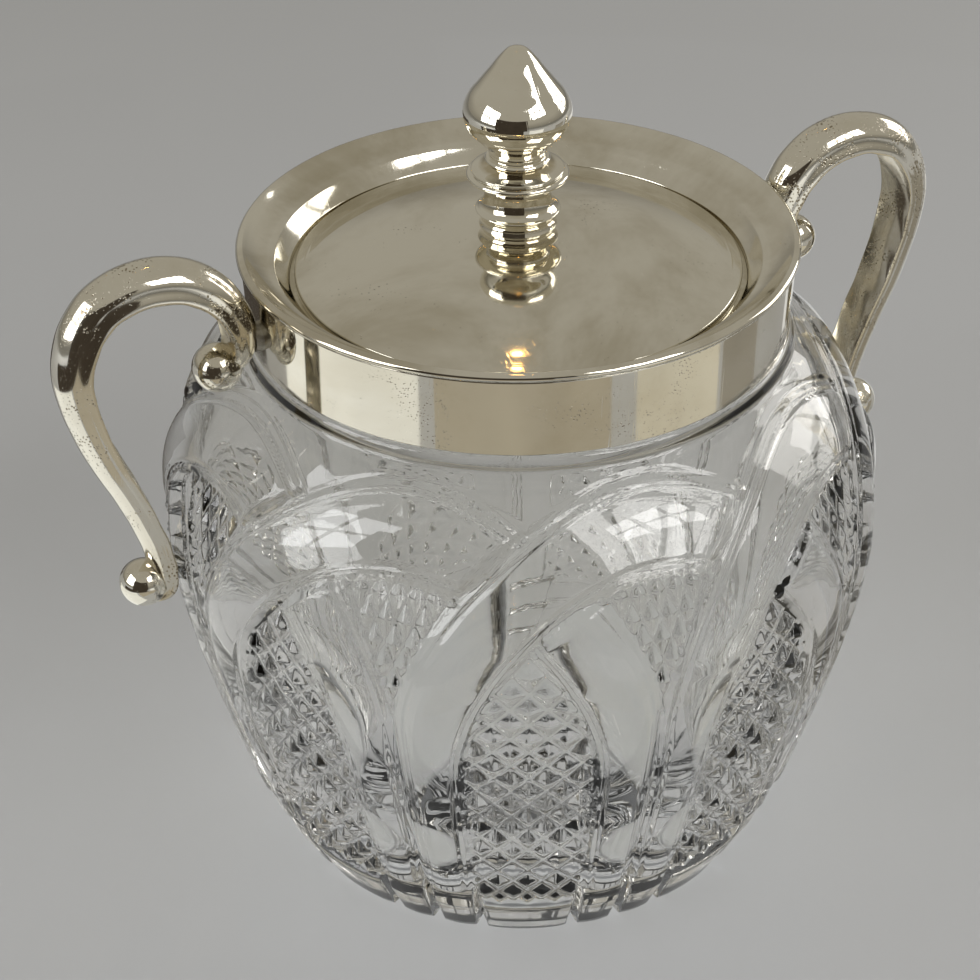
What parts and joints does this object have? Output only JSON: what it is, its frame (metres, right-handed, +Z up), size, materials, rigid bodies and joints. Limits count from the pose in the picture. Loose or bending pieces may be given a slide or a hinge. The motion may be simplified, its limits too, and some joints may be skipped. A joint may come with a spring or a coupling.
{
  "type": "sugar bowl",
  "caption": "Lidded cut-glass sugar bowl with a silver collar, scroll handles and a turned finial on its domed lid.",
  "frame": {"origin": "centre of the foot on the table, at the bottom of the bowl", "axes": "+Z up along the bowl's axis, +X through the right handle"},
  "size_m": [0.1434, 0.1144, 0.1336],
  "materials": {
    "glass": "clear cut lead glass, polished",
    "silver": "polished sterling silver with light warm toning",
    "solder": "silver solder, dull",
    "plaster": "plaster setting, matt",
    "brass": "turned brass, satin"
  },
  "bodies": {
    "bowl": {"glass_body": "glass", "neck_plaster": "plaster", "collar_band": "silver", "collar_dish": "silver", "collar_throat": "silver", "handle_left": "silver", "handle_left_upper_ball": "silver", "handle_left_lower_ball": "silver", "handle_left_solder": "solder", "handle_right": "silver", "handle_right_upper_ball": "silver", "handle_right_lower_ball": "silver", "handle_right_solder": "solder"},
    "lid": {"lid_plate": "silver", "lid_bezel": "silver", "finial_stem": "silver", "finial_disc": "silver", "finial_knob": "silver", "finial_stud": "brass", "lid_washer": "brass", "lid_nut": "brass"}
  },
  "joints": [
    {"name": "lid_lift", "type": "slide", "parent": "bowl", "child": "lid", "axis": [0, 0, 1], "range_m": [0, 0.06]}
  ]
}
